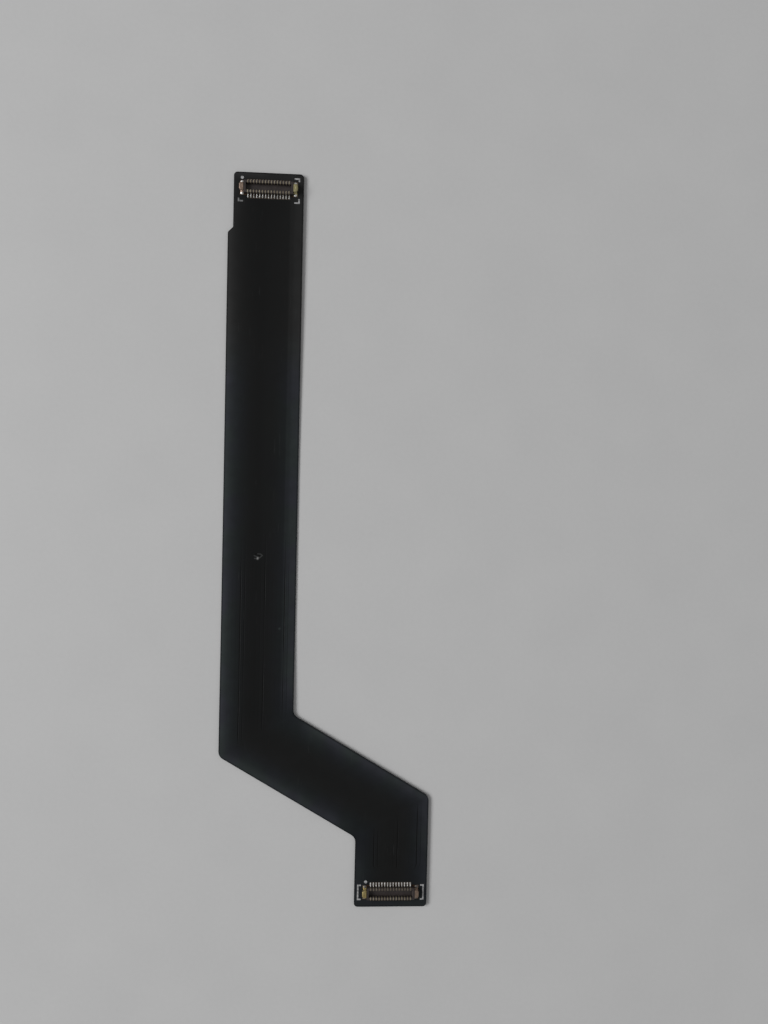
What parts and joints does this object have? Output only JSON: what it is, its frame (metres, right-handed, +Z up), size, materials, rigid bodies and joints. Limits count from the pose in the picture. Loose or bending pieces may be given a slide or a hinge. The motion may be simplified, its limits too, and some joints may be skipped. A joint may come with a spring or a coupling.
{
  "type": "flat flex cable",
  "caption": "Black printed flex circuit with a slanting step in its strip and a fine-pitch board-to-board plug on each end, for linking two circuit boards inside a slim device.",
  "frame": {"origin": "on the table under the middle of the outline's box", "axes": "+X to the leg's side, +Y along the strip from the foot plug to the head plug, +Z up out of the plugs' faces"},
  "size_m": [0.0294, 0.1014, 0.001],
  "materials": {
    "cover_film": "satin black polyimide cover film",
    "base_film": "dark brown polyimide film",
    "copper": "etched copper, gold flashed at the pads",
    "stiffener": "matte black glass-epoxy sheet",
    "housing": "matte dark moulded liquid-crystal polymer",
    "contact_gold": "gold-plated copper alloy",
    "fitting_gold": "gold-plated copper alloy, satin",
    "solder": "bright tin solder",
    "ink": "off-white printed ink"
  },
  "bodies": {
    "root": {"bottom_cover_film": "cover_film", "bottom_copper": "copper", "base_film": "base_film", "top_copper": "copper", "top_cover_film": "cover_film", "head_vias": "copper", "foot_vias": "copper", "head_stiffener": "stiffener", "foot_stiffener": "stiffener", "head_housing": "housing", "head_outer_contacts": "contact_gold", "head_inner_contacts": "contact_gold", "head_left_fitting": "fitting_gold", "head_right_fitting": "fitting_gold", "head_outer_solder": "solder", "head_inner_solder": "solder", "head_marks": "ink", "foot_housing": "housing", "foot_outer_contacts": "contact_gold", "foot_inner_contacts": "contact_gold", "foot_left_fitting": "fitting_gold", "foot_right_fitting": "fitting_gold", "foot_outer_solder": "solder", "foot_inner_solder": "solder", "foot_marks": "ink"}
  },
  "joints": []
}
